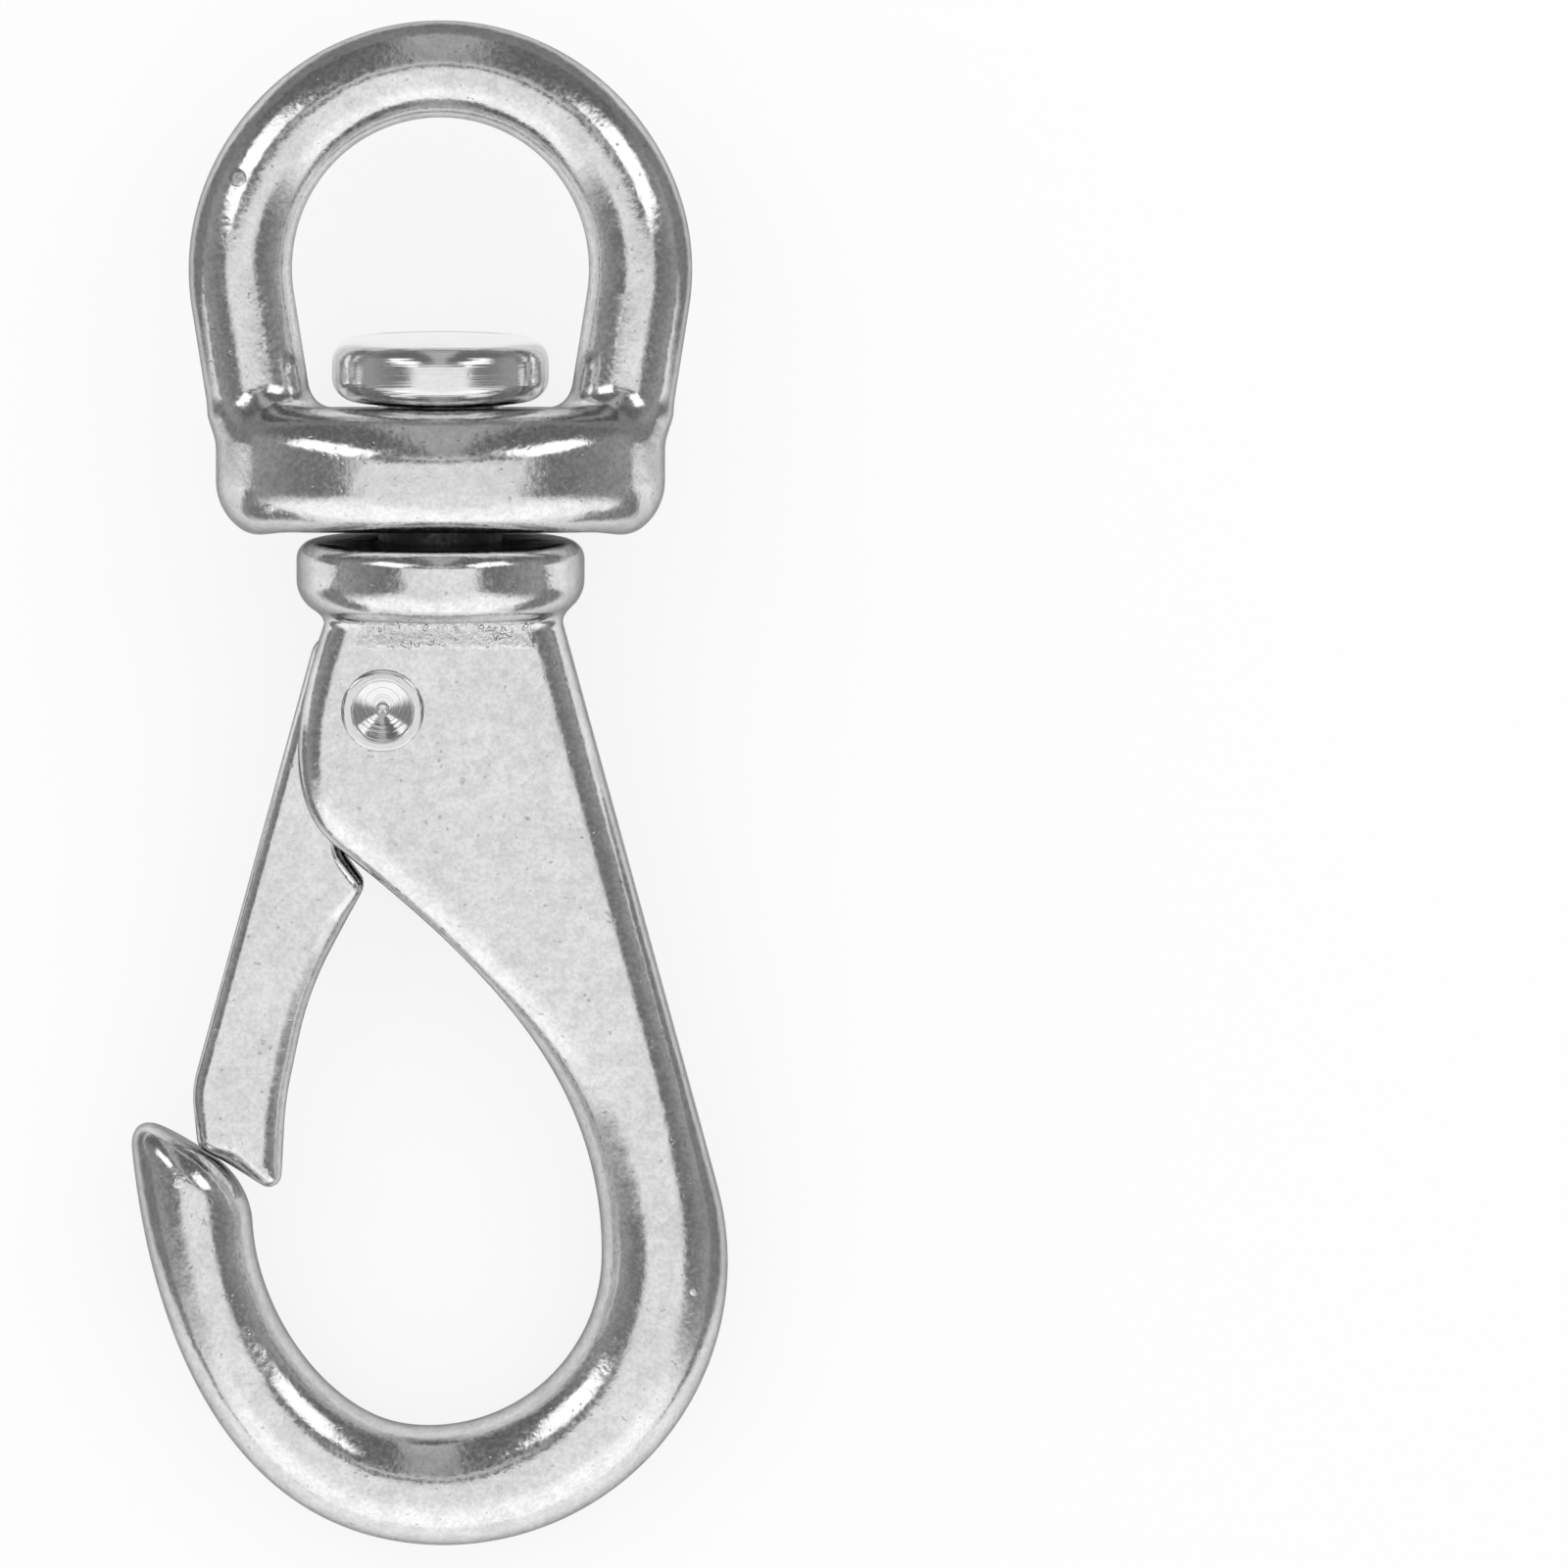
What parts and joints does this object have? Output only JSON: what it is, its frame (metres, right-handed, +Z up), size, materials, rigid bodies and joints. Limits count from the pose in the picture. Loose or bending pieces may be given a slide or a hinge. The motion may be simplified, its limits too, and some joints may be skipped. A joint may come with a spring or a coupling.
{
  "type": "swivel snap hook",
  "caption": "Polished snap hook with a sprung gate that opens inward and a loose swivelling eye on a headed bolt.",
  "frame": {"origin": "centre of the footprint, on the floor that the hook lies on", "axes": "+Y from the bend of the hook to the eye along the length, +X from the gate to the straight back edge, +Z up, out of the front face in the picture"},
  "size_m": [0.0352, 0.09, 0.0176],
  "materials": {
    "cast_steel": "mirror polished stainless steel",
    "turned_steel": "turned stainless steel, fine lathe lines",
    "spring_steel": "drawn stainless spring wire"
  },
  "bodies": {
    "hook": {"hook_body": "cast_steel", "swivel_bolt": "turned_steel", "gate_pin": "turned_steel", "gate_spring": "spring_steel"},
    "swivel_eye": {"eye": "cast_steel"},
    "snap_gate": {"gate": "cast_steel"}
  },
  "joints": [
    {"name": "eye_swivel", "type": "hinge", "parent": "hook", "child": "swivel_eye", "pos_m": [0.00068, 0.01437, 0.00866], "axis": [0, 0.9959, 0.0903], "continuous": true},
    {"name": "gate_hinge", "type": "hinge", "parent": "hook", "child": "snap_gate", "pos_m": [-0.00272, 0.00461, 0.00778], "axis": [0, -0.0903, 0.9959], "range_deg": [0, 28], "stiffness_Nm_per_rad": 0.015, "springref_deg": -57.3, "deforming": ["gate_spring"]}
  ]
}
